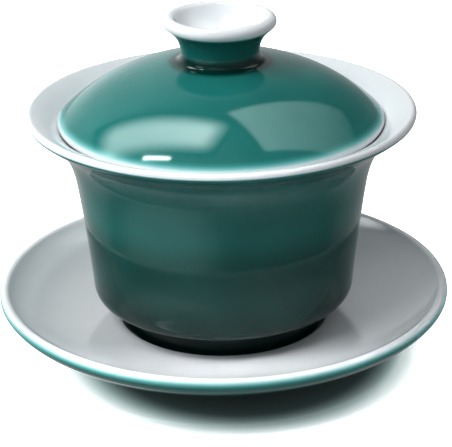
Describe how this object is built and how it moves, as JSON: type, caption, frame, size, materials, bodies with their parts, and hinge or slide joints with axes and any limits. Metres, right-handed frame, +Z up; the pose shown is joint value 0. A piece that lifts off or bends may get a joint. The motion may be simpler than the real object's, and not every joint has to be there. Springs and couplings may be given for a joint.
{
  "type": "gaiwan",
  "caption": "Lidded tea bowl on a saucer: a flared bowl on a foot ring, a domed lid with a hollow trumpet knob and a dished saucer with a well, in white porcelain with a green glaze outside.",
  "frame": {"origin": "centre of the saucer's foot ring, on the surface that the saucer stands on", "axes": "+Z up along the common axis of saucer, bowl and lid; the pieces are round, so +X and +Y are free"},
  "size_m": [0.119, 0.119, 0.0898],
  "materials": {
    "white_porcelain": "gloss, clear glaze on white porcelain",
    "green_glaze": "gloss, translucent green glaze that thins to white at the rims"
  },
  "bodies": {
    "saucer": {"saucer_body": "white_porcelain", "saucer_green_glaze": "green_glaze"},
    "bowl": {"bowl_body": "white_porcelain", "bowl_green_glaze": "green_glaze"},
    "lid": {"lid_body": "white_porcelain", "lid_green_glaze": "green_glaze", "knob_body": "white_porcelain", "knob_green_glaze": "green_glaze"}
  },
  "joints": [
    {"name": "bowl_lift", "type": "slide", "parent": "saucer", "child": "bowl", "axis": [0, 0, 1], "range_m": [0, 0.08]},
    {"name": "lid_lift", "type": "slide", "parent": "bowl", "child": "lid", "axis": [0, 0, 1], "range_m": [0, 0.06]}
  ]
}
